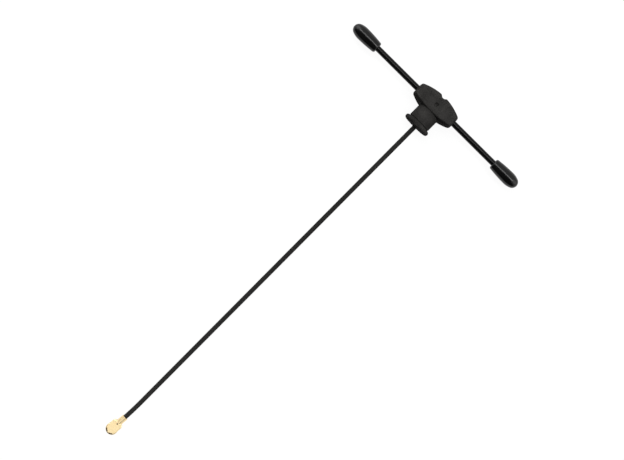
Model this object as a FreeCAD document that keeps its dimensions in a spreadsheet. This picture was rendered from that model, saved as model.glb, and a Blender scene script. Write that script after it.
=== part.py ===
"""T-shaped receiver antenna: a dipole in a moulded T housing, fed by a thin coaxial cable.

The arms lie along X and the cable leaves along -Y. The origin is on the flat back of the housing,
under the point where the axes of the arms and of the cable cross. +Z is up. Millimetres and degrees.
"""

import FreeCAD, Part
import math
import os
import Sketcher

SIZES = {
    # Cross piece of the housing, as its outlines from the middle plane over the shoulder to the flat face
    "housing_depth": 6.5,
    "cross_length": 12.0,
    "cross_height": 6.0,
    "cross_end_height": 3.2,
    "cross_corner_radius": 0.4,
    "shoulder_level": 1.3,
    "shoulder_inset": 0.05,
    "shoulder_height": 5.84,
    "shoulder_end_height": 3.1,
    "foot_level": 1.6,
    "foot_inset": 0.25,
    "foot_height": 4.8,
    "foot_end_height": 2.8,
    "face_inset": 0.4,
    "face_height": 3.9,
    "face_end_height": 2.6,
    "face_edge_inset": 0.19,
    "face_edge_drop": 0.14,
    "dimple_diameter": 1.15,
    "dimple_depth": 0.45,
    "notch_width": 2.0,
    "notch_floor_width": 0.5,
    "notch_depth": 0.6,
    # Neck and collar, the collar cut off level with the flat faces
    "neck_diameter": 5.85,
    "collar_diameter": 7.2,
    "collar_reach": 6.9,
    "collar_height": 1.1,
    "collar_flare": 0.12,
    "collar_rim_bevel": 0.3,
    # Arms
    "dipole_length": 54.1,
    "feed_gap": 1.8,
    "element_diameter": 0.8,
    "sleeve_diameter": 1.5,
    "sleeve_setback": 2.5,
    "cap_length": 7.72,
    "cap_diameter": 3.42,
    "cap_mouth_diameter": 2.74,
    "cap_mouth_bevel": 0.2,
    "cap_nose_length": 2.65,
    "cap_tip_radius": 1.45,
    "cap_bore_depth": 5.2,
    # Cable and its stripped ends
    "cable_diameter": 1.13,
    "braid_diameter": 0.92,
    "dielectric_diameter": 0.68,
    "core_diameter": 0.24,
    "jacket_end": 2.4,
    "braid_end": 1.75,
    "dielectric_end": 0.95,
    "braid_tail_diameter": 0.4,
    "tail_reach": 1.75,
    "solder_length": 1.2,
    "solder_wall": 0.1,
    # Plug, measured from the axis of its barrel and from the plane of its mouth
    "plug_distance": 108.75,
    "plug_yaw": 4.6,
    "plug_cable_height": 1.05,
    "sheet_thickness": 0.18,
    "barrel_diameter": 2.95,
    "barrel_edge_bevel": 0.2,
    "mouth_diameter": 2.05,
    "mouth_lip_height": 0.25,
    "wing_width": 2.75,
    "wing_edge_radius": 0.3,
    "wing_end": 2.0,
    "crimp_start": 2.35,
    "crimp_length": 1.8,
    "crimp_lead_in": 1.9,
    "seam_width": 0.12,
    "barrel_slit_height": 0.75,
    "lid_slot_width": 0.22,
    "lid_slot_start": 10.0,
    "lid_slot_end": 55.0,
    "lid_hole_diameter": 0.36,
    "lid_hole_distance": 1.75,
    "insulator_floor": 0.7,
    "insulator_tail_width": 1.9,
    "insulator_tail_end": 1.75,
    "contact_diameter": 0.7,
    "contact_bore_diameter": 0.44,
    "contact_floor": 0.2,
    "contact_thickness": 0.1,
    "contact_strip_width": 0.4,
    "contact_strip_end": 1.5,
    "plug_jacket_end": 2.45,
    "plug_braid_length": 0.5,
    "plug_dielectric_length": 0.62,
    "plug_core_length": 1.35,
    # Clearance between a piece and what it is fitted in
    "fit_clearance": 0.02,
}

# Corners of the free cable, as shares of its way from the collar to the plug and of its height between
# lying on the surface and leaving the collar
CABLE_ROUTE = [(0.095, 1.0), (0.283, 0.62), (0.533, 0.08), (0.786, 0.0), (0.927, 0.08)]

# Share of the shorter run beside a corner of the cable that its bend takes up
BEND_SHARE = 0.45

# How far a cutting shape reaches past the solid that it cuts
OVERCUT = 0.5

DOC = FreeCAD.newDocument("receiver_antenna")
AXIS_X = FreeCAD.Vector(1, 0, 0)
AXIS_Y = FreeCAD.Vector(0, 1, 0)
AXIS_Z = FreeCAD.Vector(0, 0, 1)


class Size:
    """A number together with the spreadsheet expression that gives it."""

    def __init__(self, value, text):
        self.value = value
        self.text = text

    def __add__(self, other):
        other = as_size(other)
        return Size(self.value + other.value, f"({self.text} + {other.text})")

    def __sub__(self, other):
        other = as_size(other)
        return Size(self.value - other.value, f"({self.text} - {other.text})")

    def __mul__(self, other):
        other = as_size(other)
        return Size(self.value * other.value, f"({self.text} * {other.text})")

    def __truediv__(self, other):
        other = as_size(other)
        return Size(self.value / other.value, f"({self.text} / {other.text})")

    def __neg__(self):
        return Size(-self.value, f"(-{self.text})")


def as_size(number):
    return number if isinstance(number, Size) else Size(number, repr(float(number)))


def root(size):
    return Size(math.sqrt(size.value), f"sqrt({size.text})")


def sine(angle):
    return Size(math.sin(math.radians(angle.value)), f"sin({angle.text} * 1 deg)")


def cosine(angle):
    return Size(math.cos(math.radians(angle.value)), f"cos({angle.text} * 1 deg)")


class Dimensions:
    """The driving dimensions, kept in a spreadsheet and read back from it by name."""

    def __init__(self, sizes):
        sheet = DOC.addObject("Spreadsheet::Sheet", "Sizes")
        for row, (name, number) in enumerate(sizes.items(), start=1):
            sheet.set(f"A{row}", name)
            sheet.set(f"B{row}", str(number))
            sheet.setAlias(f"B{row}", name)
        DOC.recompute()
        for name in sizes:
            setattr(self, name, Size(float(sheet.get(name)), f"Sizes.{name}"))


D = Dimensions(SIZES)
ZERO = as_size(0)
FIT = D.fit_clearance
AXIS_HEIGHT = D.housing_depth / 2
ELEMENT_RADIUS = D.element_diameter / 2
SLEEVE_RADIUS = D.sleeve_diameter / 2
CABLE_RADIUS = D.cable_diameter / 2
CORE_RADIUS = D.core_diameter / 2
DIELECTRIC_RADIUS = D.dielectric_diameter / 2
BRAID_RADIUS = D.braid_diameter / 2
BRAID_ROOM = BRAID_RADIUS + FIT
WING_FLOOR = D.plug_cable_height - BRAID_ROOM - D.sheet_thickness
LID_TOP = D.plug_cable_height + BRAID_ROOM + D.sheet_thickness
PLUG_LEAD = D.crimp_start + D.crimp_length + D.crimp_lead_in
CAP_START = D.dipole_length / 2 - D.cap_length
SLEEVE_END = CAP_START + D.cap_bore_depth - FIT


def bind(item, **sizes):
    """Bind properties of an object to the spreadsheet."""
    for name, size in sizes.items():
        item.setExpression(name, size.text)


def place(item, x=ZERO, y=ZERO, z=ZERO, axis=AXIS_Z, angle=0.0):
    """Place an object, with its position bound to the spreadsheet."""
    base = FreeCAD.Vector(x.value, y.value, z.value)
    item.Placement = FreeCAD.Placement(base, FreeCAD.Rotation(axis, angle))
    for letter, size in zip("xyz", (x, y, z)):
        item.setExpression(f"Placement.Base.{letter}", size.text)
    return item


def new_body(label):
    body = DOC.addObject("PartDesign::Body", label)
    body.Label = label
    return body


def new_sketch(body, plane, level=ZERO):
    """A sketch on one of a body's origin planes, moved along the plane's normal by a bound distance."""
    sketch = body.newObject("Sketcher::SketchObject", "Sketch")
    support = [part for part in body.Origin.OriginFeatures if part.Role == plane][0]
    sketch.AttachmentSupport = [(support, "")]
    sketch.MapMode = "FlatFace"
    sketch.AttachmentOffset = FreeCAD.Placement(FreeCAD.Vector(0, 0, level.value), FreeCAD.Rotation())
    sketch.setExpression("AttachmentOffset.Base.z", level.text)
    return sketch


def constrain(sketch, kind, *where, size=None):
    """Add a constraint, bound to a size where it has one."""
    values = () if size is None else (size.value,)
    index = sketch.addConstraint(Sketcher.Constraint(kind, *where, *values))
    if size is not None:
        sketch.setExpression(f"Constraints[{index}]", size.text)


def pin(sketch, edge, end, x, y):
    """Hold a point of a sketch at bound coordinates."""
    constrain(sketch, "DistanceX", -1, 1, edge, end, size=as_size(x))
    constrain(sketch, "DistanceY", -1, 1, edge, end, size=as_size(y))


def point(x, y):
    return FreeCAD.Vector(as_size(x).value, as_size(y).value, 0)


def arc(centre, radius, start, end):
    """An arc that turns anticlockwise between two angles in radians."""
    return Part.ArcOfCircle(Part.Circle(centre, AXIS_Z, radius), start, end)


def draw_outline(sketch, corners):
    """Draw a closed outline of straight edges. A corner is (x, y), or (x, y, radius) to round it."""
    count = len(corners)
    spots = [point(corner[0], corner[1]) for corner in corners]
    starts = list(spots)
    ends = list(spots)
    rounds = {}
    for index, corner in enumerate(corners):
        if len(corner) == 3:
            back = (spots[index - 1] - spots[index]).normalize()
            ahead = (spots[(index + 1) % count] - spots[index]).normalize()
            half_angle = back.getAngle(ahead) / 2
            reach = corner[2].value / math.tan(half_angle)
            ends[index] = spots[index] + back * reach
            starts[index] = spots[index] + ahead * reach
            middle = (back + ahead).normalize()
            centre = spots[index] + middle * (corner[2].value / math.sin(half_angle))
            rounds[index] = Part.Arc(ends[index], centre - middle * corner[2].value, starts[index])
    edges = [
        sketch.addGeometry(Part.LineSegment(starts[index], ends[(index + 1) % count]), False)
        for index in range(count)
    ]
    for index, corner in enumerate(corners):
        before = edges[index - 1]
        after = edges[index]
        if index not in rounds:
            constrain(sketch, "Coincident", before, 2, after, 1)
            pin(sketch, after, 1, corner[0], corner[1])
            continue
        turn = sketch.addGeometry(rounds[index], False)
        gaps = [(sketch.getPoint(turn, end) - ends[index]).Length for end in (1, 2)]
        first, last = (1, 2) if gaps[0] < gaps[1] else (2, 1)
        apex = sketch.addGeometry(Part.Point(spots[index]), True)
        constrain(sketch, "PointOnObject", apex, 1, before)
        constrain(sketch, "PointOnObject", apex, 1, after)
        pin(sketch, apex, 1, corner[0], corner[1])
        constrain(sketch, "Tangent", before, 2, turn, first)
        constrain(sketch, "Tangent", turn, last, after, 1)
        constrain(sketch, "Radius", turn, size=as_size(corner[2]))


def draw_circle(sketch, x, y, radius):
    circle = sketch.addGeometry(Part.Circle(point(x, y), AXIS_Z, radius.value), False)
    pin(sketch, circle, 3, x, y)
    constrain(sketch, "Radius", circle, size=radius)


def pad(body, sketch, length, reverse=False, middle=False):
    feature = body.newObject("PartDesign::Pad", "Pad")
    return finish_extrusion(feature, sketch, length, reverse, middle)


def pocket(body, sketch, length, reverse=False, middle=False):
    feature = body.newObject("PartDesign::Pocket", "Pocket")
    return finish_extrusion(feature, sketch, length, reverse, middle)


def finish_extrusion(feature, sketch, length, reverse, middle):
    feature.Profile = sketch
    feature.Reversed = reverse
    if middle:
        feature.SideType = "Symmetric"
    bind(feature, Length=length)
    return feature


def turn_about(body, sketch, axis, kind="Revolution"):
    """Revolve a sketch about one of its own axes, to add material or, as a Groove, to remove it."""
    feature = body.newObject(f"PartDesign::{kind}", kind)
    feature.Profile = sketch
    feature.ReferenceAxis = (sketch, [axis])
    feature.Angle = 360
    return feature


def rod(label, radius, length, axis, angle, **position):
    """A round bar along the direction that the turn gives its own Z axis."""
    bar = DOC.addObject("Part::Cylinder", label)
    bar.Label = label
    bind(bar, Radius=radius, Height=length)
    return place(bar, axis=axis, angle=angle, **position)


def rod_along_y(label, radius, start, end, **position):
    return rod(label, radius, end - start, AXIS_X, -90, y=start, **position)


def rod_along_arm(label, side, radius, start, end):
    """A round bar on the arm axis, between two distances from the cable axis. Side is 1 or -1."""
    return rod(label, radius, end - start, AXIS_Y, 90 * side, x=start * side, z=AXIS_HEIGHT)


def cut(label, base, tool):
    result = DOC.addObject("Part::Cut", label)
    result.Label = label
    result.Base = base
    result.Tool = tool
    return result


def join(label, shapes):
    result = DOC.addObject("Part::MultiFuse", label)
    result.Label = label
    result.Shapes = shapes
    return result


def cross_outline(body, level, length, height, end_height):
    """Outline of the cross piece at one level: arched long sides, straight ends and rounded corners."""
    sketch = new_sketch(body, "XY_Plane", level)
    corner = D.cross_corner_radius
    half = length / 2
    sag = (height - end_height) / 2
    arch = (half * half + sag * sag) / (sag * 2)
    drop = arch - height / 2
    corner_x = half - corner
    corner_y = root((arch - corner) * (arch - corner) - corner_x * corner_x) - drop
    lean = math.atan2((corner_y + drop).value, corner_x.value)
    shapes = [
        arc(point(0, -drop), arch.value, lean, math.pi - lean),
        arc(point(-corner_x, corner_y), corner.value, math.pi - lean, math.pi),
        Part.LineSegment(point(-half, corner_y), point(-half, -corner_y)),
        arc(point(-corner_x, -corner_y), corner.value, math.pi, math.pi + lean),
        arc(point(0, drop), arch.value, math.pi + lean, -lean),
        arc(point(corner_x, -corner_y), corner.value, -lean, 0.0),
        Part.LineSegment(point(half, -corner_y), point(half, corner_y)),
        arc(point(corner_x, corner_y), corner.value, 0.0, lean),
    ]
    edges = [sketch.addGeometry(shape, False) for shape in shapes]
    top, top_left, left, low_left, bottom, low_right, right, top_right = edges
    for edge, following in zip(edges, edges[1:] + edges[:1]):
        constrain(sketch, "Tangent", edge, 2, following, 1)
    for line, side in ((left, -half), (right, half)):
        constrain(sketch, "Vertical", line)
        constrain(sketch, "DistanceX", -1, 1, line, 1, size=side)
    for turn in (top_left, low_left, low_right, top_right):
        constrain(sketch, "Radius", turn, size=corner)
    for curve, centre_y in ((top, -drop), (bottom, drop)):
        pin(sketch, curve, 3, ZERO, centre_y)
        constrain(sketch, "Radius", curve, size=arch)
    return sketch


def make_housing_blank():
    """The moulded T before its inserts are taken out of it, about the crossing of its axes."""
    body = new_body("housing_blank")
    face = D.housing_depth / 2
    face_sizes = (D.cross_length - D.face_inset * 2, D.face_height, D.face_end_height)
    foot_sizes = (D.cross_length - D.foot_inset * 2, D.foot_height, D.foot_end_height)
    shoulder_sizes = (D.cross_length - D.shoulder_inset * 2, D.shoulder_height, D.shoulder_end_height)
    middle_sizes = (D.cross_length, D.cross_height, D.cross_end_height)
    flat_sizes = [size - D.face_edge_inset * 2 for size in face_sizes]
    fall = D.face_edge_drop / (face - D.foot_level)
    brow_sizes = [top + (low - top) * fall for top, low in zip(face_sizes, foot_sizes)]
    upper_half = [
        (face, flat_sizes),
        (face - D.face_edge_drop, brow_sizes),
        (D.foot_level, foot_sizes),
        (D.shoulder_level, shoulder_sizes),
    ]
    lower_half = [(-level, sizes) for level, sizes in reversed(upper_half)]
    levels = upper_half + [(ZERO, middle_sizes)] + lower_half
    outlines = [cross_outline(body, level, *sizes) for level, sizes in levels]
    cross = body.newObject("PartDesign::AdditiveLoft", "CrossPiece")
    cross.Profile = outlines[0]
    cross.Sections = outlines[1:]
    cross.Ruled = True

    neck = new_sketch(body, "XY_Plane")
    neck_radius = D.neck_diameter / 2
    collar_radius = D.collar_diameter / 2
    flare_top = D.collar_height - D.collar_reach
    draw_outline(neck, [
        (ZERO, ZERO),
        (ZERO, -D.collar_reach),
        (collar_radius - D.collar_rim_bevel, -D.collar_reach),
        (collar_radius, D.collar_rim_bevel - D.collar_reach),
        (collar_radius, flare_top - D.collar_flare),
        (neck_radius, flare_top),
        (neck_radius, ZERO),
    ])
    turn_about(body, neck, "V_Axis")
    for level, upwards in ((face, True), (-face, False)):
        flat = new_sketch(body, "XY_Plane", level)
        draw_outline(flat, [
            (-collar_radius, -D.collar_reach),
            (collar_radius, -D.collar_reach),
            (collar_radius, flare_top),
            (-collar_radius, flare_top),
        ])
        pocket(body, flat, collar_radius, reverse=upwards)

    dimple = new_sketch(body, "XZ_Plane")
    dimple_radius = D.dimple_diameter / 2
    dimple_floor = face - D.dimple_depth
    draw_outline(dimple, [
        (ZERO, dimple_floor),
        (dimple_radius, dimple_floor),
        (dimple_radius, face + OVERCUT),
        (ZERO, face + OVERCUT),
    ])
    turn_about(body, dimple, "V_Axis", "Groove")

    notch = new_sketch(body, "XY_Plane")
    crown = D.cross_height / 2
    notch_floor = crown - D.notch_depth
    flank = (D.notch_width - D.notch_floor_width) / D.notch_depth / 2
    notch_top = D.notch_floor_width / 2 + flank * (D.notch_depth + OVERCUT)
    draw_outline(notch, [
        (-D.notch_floor_width / 2, notch_floor),
        (D.notch_floor_width / 2, notch_floor),
        (notch_top, crown + OVERCUT),
        (-notch_top, crown + OVERCUT),
    ])
    pocket(body, notch, D.housing_depth + OVERCUT, middle=True)
    return place(body, z=AXIS_HEIGHT)


def make_arm(name, side):
    """One arm: its conductor, sleeve and end cap. Returns the room that it takes in the housing."""
    half_gap = D.feed_gap / 2
    setback = D.sleeve_setback
    wide_element = ELEMENT_RADIUS + FIT
    wide_sleeve = SLEEVE_RADIUS + FIT
    room_end = SLEEVE_END + FIT
    rod_along_arm(f"{name}_element_wire", side, ELEMENT_RADIUS, half_gap, SLEEVE_END)
    element_room = rod_along_arm(f"{name}_element_room", side, wide_element, half_gap - FIT, room_end)
    sleeve = rod_along_arm(f"{name}_sleeve_bar", side, SLEEVE_RADIUS, setback, SLEEVE_END)
    cut(f"{name}_arm_sleeve", sleeve, element_room)
    sleeve_room = rod_along_arm(f"{name}_sleeve_room", side, wide_sleeve, setback - FIT, room_end)
    make_end_cap(f"{name}_end_cap", side)
    return element_room, sleeve_room


def make_end_cap(label, side):
    """A bullet cap with a blind bore, turned about X from its mouth at the origin to its tip."""
    body = new_body(label)
    sketch = new_sketch(body, "XY_Plane")
    bore_radius = SLEEVE_RADIUS + FIT
    cap_radius = D.cap_diameter / 2
    mouth_radius = D.cap_mouth_diameter / 2
    widest = D.cap_length - D.cap_nose_length
    sag = cap_radius - mouth_radius
    taper = (widest * widest + sag * sag) / (sag * 2)
    tip_centre = D.cap_nose_length - D.cap_tip_radius
    spread = tip_centre * tip_centre + cap_radius * cap_radius - D.cap_tip_radius * D.cap_tip_radius
    nose = spread / ((cap_radius - D.cap_tip_radius) * 2)
    tip_angle = math.atan2((nose - cap_radius).value, tip_centre.value)
    bevel = D.cap_mouth_bevel
    flank_x = widest - bevel
    flank_y = root(taper * taper - flank_x * flank_x) + cap_radius - taper
    taper_angle = math.pi / 2 + math.asin(flank_x.value / taper.value)
    shapes = [
        Part.LineSegment(point(0, bore_radius), point(D.cap_bore_depth, bore_radius)),
        Part.LineSegment(point(D.cap_bore_depth, bore_radius), point(D.cap_bore_depth, 0)),
        Part.LineSegment(point(D.cap_bore_depth, 0), point(D.cap_length, 0)),
        arc(point(widest + tip_centre, 0), D.cap_tip_radius.value, 0.0, tip_angle),
        arc(point(widest, cap_radius - nose), nose.value, tip_angle, math.pi / 2),
        arc(point(widest, cap_radius - taper), taper.value, math.pi / 2, taper_angle),
        Part.LineSegment(point(bevel, flank_y), point(0, mouth_radius - bevel)),
        Part.LineSegment(point(0, mouth_radius - bevel), point(0, bore_radius)),
    ]
    edges = [sketch.addGeometry(shape, False) for shape in shapes]
    wall, floor, axis, tip, shoulder, flank, lip, mouth = edges
    pin(sketch, wall, 1, ZERO, bore_radius)
    pin(sketch, wall, 2, D.cap_bore_depth, bore_radius)
    pin(sketch, floor, 2, D.cap_bore_depth, ZERO)
    pin(sketch, axis, 2, D.cap_length, ZERO)
    for first, second in ((wall, floor), (floor, axis), (axis, tip), (mouth, wall)):
        constrain(sketch, "Coincident", first, 2, second, 1)
    pin(sketch, tip, 3, widest + tip_centre, ZERO)
    constrain(sketch, "Tangent", tip, 2, shoulder, 1)
    pin(sketch, shoulder, 2, widest, cap_radius)
    constrain(sketch, "DistanceX", -1, 1, shoulder, 3, size=widest)
    constrain(sketch, "Tangent", shoulder, 2, flank, 1)
    constrain(sketch, "Radius", flank, size=taper)
    constrain(sketch, "DistanceX", -1, 1, flank, 2, size=bevel)
    constrain(sketch, "Coincident", flank, 2, lip, 1)
    constrain(sketch, "Coincident", lip, 2, mouth, 1)
    pin(sketch, mouth, 1, ZERO, mouth_radius - bevel)
    turn_about(body, sketch, "H_Axis")
    return place(body, x=CAP_START * side, z=AXIS_HEIGHT, angle=90 - 90 * side)


def make_tail(label, radius, side, x, start, rise, growth):
    """A wire folded off the cable to run along an arm. Growth widens it into the room that it takes."""
    body = new_body(label)
    profile = new_sketch(body, "XZ_Plane", growth - start)
    draw_circle(profile, x, ZERO, radius + growth)
    spine = new_sketch(body, "XY_Plane")
    end = (D.tail_reach + growth) * side
    upright = sketch_line(spine, point(x, start - growth), point(x, rise))
    level = sketch_line(spine, point(x, rise), point(end, rise))
    pin(spine, upright, 1, x, start - growth)
    constrain(spine, "Coincident", upright, 2, level, 1)
    pin(spine, level, 1, x, rise)
    pin(spine, level, 2, end, rise)
    pipe = body.newObject("PartDesign::AdditivePipe", "Pipe")
    pipe.Profile = profile
    pipe.Spine = (spine, ["Edge1", "Edge2"])
    pipe.Transition = "Right corner"
    return place(body, z=AXIS_HEIGHT)


def sketch_line(sketch, start, end):
    return sketch.addGeometry(Part.LineSegment(start, end), False)


def make_solder(name, side, drop, tools, growth):
    """A bead of solder round a conductor and the tail below it, less the wires where tools give them."""
    label = f"{name}_solder_joint" if tools else f"{name}_solder_room"
    bead_label = f"{label}_bead" if tools else label
    wrap = drop / 2 + ELEMENT_RADIUS + D.solder_wall + growth
    start = (D.feed_gap / 2 + D.tail_reach - D.solder_length) / 2 - growth
    length = D.solder_length + growth * 2
    bead = rod(bead_label, wrap, length, AXIS_Y, 90 * side, x=start * side, y=-drop / 2, z=AXIS_HEIGHT)
    if not tools:
        return bead
    return cut(label, bead, join(f"{label}_wires", tools))


def make_feed(left_room, right_room):
    """The stripped end of the cable and its two solder joints. Returns the room that they take."""
    core_drop = ELEMENT_RADIUS + CORE_RADIUS + FIT
    tail_radius = D.braid_tail_diameter / 2
    braid_drop = ELEMENT_RADIUS + tail_radius + FIT
    braid_x = DIELECTRIC_RADIUS + tail_radius + FIT
    core_start = -D.dielectric_end
    braid_start = -(D.jacket_end + D.braid_end) / 2

    make_tail("feed_core_tail", CORE_RADIUS, -1, ZERO, core_start, -core_drop, ZERO)
    core_room = make_tail("core_tail_room", CORE_RADIUS, -1, ZERO, core_start, -core_drop, FIT)
    tail = make_tail("braid_tail_wire", tail_radius, 1, braid_x, braid_start, -braid_drop, ZERO)
    tail_room = make_tail("braid_tail_room", tail_radius, 1, braid_x, braid_start, -braid_drop, FIT)

    rod_along_y("feed_dielectric_end", DIELECTRIC_RADIUS, -D.jacket_end, core_start, z=AXIS_HEIGHT)
    dielectric_room = rod_along_y(
        "dielectric_room", DIELECTRIC_RADIUS + FIT, -D.jacket_end, core_start, z=AXIS_HEIGHT
    )
    ring = rod_along_y("braid_ring", BRAID_RADIUS, -D.jacket_end, -D.braid_end, z=AXIS_HEIGHT)
    ring_room = rod_along_y(
        "braid_ring_room", BRAID_ROOM, -D.jacket_end, FIT - D.braid_end, z=AXIS_HEIGHT
    )
    cut("feed_braid_tail", join("braid_ring_and_tail", [ring, tail]), dielectric_room)

    make_solder("left", -1, core_drop, [left_room, core_room], ZERO)
    make_solder("right", 1, braid_drop, [right_room, tail_room], ZERO)
    left_bead_room = make_solder("left", -1, core_drop, [], FIT)
    right_bead_room = make_solder("right", 1, braid_drop, [], FIT)
    cable_room = rod_along_y(
        "cable_room", CABLE_RADIUS + FIT, -D.collar_reach - OVERCUT, -D.jacket_end, z=AXIS_HEIGHT
    )
    return [core_room, tail_room, dielectric_room, ring_room, left_bead_room, right_bead_room, cable_room]


def make_housing():
    """The T housing, moulded round the inner ends of the arms and of the cable."""
    left_element, left_sleeve = make_arm("left", -1)
    right_element, right_sleeve = make_arm("right", 1)
    rooms = make_feed(left_element, right_element)
    rooms += [left_element, left_sleeve, right_element, right_sleeve]
    cut("t_housing", make_housing_blank(), join("insert_rooms", rooms))


def plug_point(distance, height):
    """A point on the middle line of the plug, at a distance from the barrel axis towards the cable."""
    x = (distance - PLUG_LEAD) * sine(D.plug_yaw)
    y = distance * cosine(D.plug_yaw) - D.plug_distance
    return FreeCAD.Vector(x.value, y.value, height.value)


def place_plug(item, y=ZERO, z=ZERO, axis=None):
    """Place a piece of the plug by its distance from the barrel axis and its height above the mouth."""
    x = (y - PLUG_LEAD) * sine(D.plug_yaw)
    place(item, x=x, y=y * cosine(D.plug_yaw) - D.plug_distance, z=z)
    turn = FreeCAD.Rotation(AXIS_Z, -D.plug_yaw.value)
    if axis is not None:
        turn = turn.multiply(FreeCAD.Rotation(axis, -90))
    item.Placement = FreeCAD.Placement(item.Placement.Base, turn)
    return item


def plug_rod(label, radius, start, length):
    """A round bar on the cable axis inside the plug."""
    bar = DOC.addObject("Part::Cylinder", label)
    bar.Label = label
    bind(bar, Radius=radius, Height=length)
    return place_plug(bar, y=start, z=D.plug_cable_height, axis=AXIS_X)


def make_cable():
    """The jacketed cable from its stripped end in the housing to its stripped end in the plug."""
    collar_end = FreeCAD.Vector(0, -D.collar_reach.value, AXIS_HEIGHT.value)
    lead = plug_point(PLUG_LEAD, D.plug_cable_height)
    lying_height = (CABLE_RADIUS + FIT).value
    points = [FreeCAD.Vector(0, -D.jacket_end.value, AXIS_HEIGHT.value)]
    for way, rise in CABLE_ROUTE:
        y = collar_end.y + way * (lead.y - collar_end.y)
        z = lying_height + rise * (collar_end.z - lying_height)
        points.append(FreeCAD.Vector(0, y, z))
    points += [lead, plug_point(D.plug_jacket_end, D.plug_cable_height)]
    edges = []
    start = points[0]
    for before, corner, after in zip(points, points[1:], points[2:]):
        back = (before - corner).normalize()
        ahead = (after - corner).normalize()
        turn = math.pi - back.getAngle(ahead)
        reach = BEND_SHARE * min((before - corner).Length, (after - corner).Length)
        radius = reach / math.tan(turn / 2)
        print(f"cable corner {corner}, radius {radius:.1f} mm")
        arc_start = corner + back * reach
        arc_end = corner + ahead * reach
        middle = (back + ahead).normalize()
        crest = corner + middle * (radius / math.cos(turn / 2) - radius)
        edges.append(Part.LineSegment(start, arc_start).toShape())
        edges.append(Part.Arc(arc_start, crest, arc_end).toShape())
        start = arc_end
    edges.append(Part.LineSegment(start, points[-1]).toShape())
    path = Part.Wire(edges)
    section = Part.Wire(Part.makeCircle(CABLE_RADIUS.value, points[0], points[1] - points[0]))
    cable = DOC.addObject("Part::Feature", "coax_cable")
    cable.Label = "coax_cable"
    cable.Shape = path.makePipeShell([section], True, False)
    expected = math.pi * CABLE_RADIUS.value ** 2 * path.Length
    print(f"cable length {path.Length:.2f} mm, volume {cable.Shape.Volume:.3f} of {expected:.3f} mm3")


def make_plug_shell():
    """The folded sheet shell: a barrel with a lid, wings round the braid and a crimp round the jacket."""
    body = new_body("plug_shell")
    wall = D.sheet_thickness
    barrel_radius = D.barrel_diameter / 2
    crimp_bore = CABLE_RADIUS + FIT
    crimp_radius = crimp_bore + wall
    crimp_end = D.crimp_start + D.crimp_length
    half_wing = D.wing_width / 2

    barrel = new_sketch(body, "XZ_Plane")
    draw_outline(barrel, [
        (ZERO, ZERO),
        (barrel_radius, ZERO),
        (barrel_radius, LID_TOP - D.barrel_edge_bevel),
        (barrel_radius - D.barrel_edge_bevel, LID_TOP),
        (ZERO, LID_TOP),
    ])
    turn_about(body, barrel, "V_Axis")

    wings = new_sketch(body, "XY_Plane", WING_FLOOR)
    draw_outline(wings, [
        (-half_wing, ZERO),
        (half_wing, ZERO),
        (half_wing, D.wing_end, D.wing_edge_radius),
        (crimp_radius, D.crimp_start),
        (-crimp_radius, D.crimp_start),
        (-half_wing, D.wing_end, D.wing_edge_radius),
    ])
    pad(body, wings, LID_TOP - WING_FLOOR)

    crimp = new_sketch(body, "XZ_Plane", -D.crimp_start)
    draw_circle(crimp, ZERO, D.plug_cable_height, crimp_radius)
    pad(body, crimp, D.crimp_length, reverse=True)

    cavity = new_sketch(body, "XZ_Plane")
    mouth_radius = D.mouth_diameter / 2
    lid_floor = LID_TOP - wall
    draw_outline(cavity, [
        (ZERO, -as_size(OVERCUT)),
        (mouth_radius, -as_size(OVERCUT)),
        (mouth_radius, D.mouth_lip_height),
        (barrel_radius - wall, D.mouth_lip_height),
        (barrel_radius - wall, lid_floor),
        (ZERO, lid_floor),
    ])
    turn_about(body, cavity, "V_Axis", "Groove")

    wing_room = new_sketch(body, "XY_Plane", WING_FLOOR + wall)
    draw_outline(wing_room, [
        (wall - half_wing, ZERO),
        (half_wing - wall, ZERO),
        (half_wing - wall, D.wing_end),
        (crimp_bore, D.crimp_start),
        (-crimp_bore, D.crimp_start),
        (wall - half_wing, D.wing_end),
    ])
    pocket(body, wing_room, lid_floor - WING_FLOOR - wall, reverse=True)

    crimp_room = new_sketch(body, "XZ_Plane", -crimp_end - OVERCUT)
    draw_circle(crimp_room, ZERO, D.plug_cable_height, crimp_bore)
    pocket(body, crimp_room, D.crimp_length + OVERCUT, reverse=True)

    seam = new_sketch(body, "XY_Plane")
    half_seam = D.seam_width / 2
    seam_start = barrel_radius + wall
    draw_outline(seam, [
        (-half_seam, seam_start),
        (half_seam, seam_start),
        (half_seam, crimp_end + OVERCUT),
        (-half_seam, crimp_end + OVERCUT),
    ])
    pocket(body, seam, D.plug_cable_height, reverse=True)

    slits = new_sketch(body, "YZ_Plane")
    draw_outline(slits, [
        (-half_seam, -as_size(OVERCUT)),
        (half_seam, -as_size(OVERCUT)),
        (half_seam, D.barrel_slit_height),
        (-half_seam, D.barrel_slit_height),
    ])
    pocket(body, slits, D.barrel_diameter + OVERCUT, middle=True)

    lid_slots = new_sketch(body, "XY_Plane", LID_TOP)
    for side in (-1, 1):
        draw_lid_slot(lid_slots, side, barrel_radius - wall)
    draw_circle(lid_slots, ZERO, D.lid_hole_distance, D.lid_hole_diameter / 2)
    pocket(body, lid_slots, wall)
    return place_plug(body)


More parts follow.
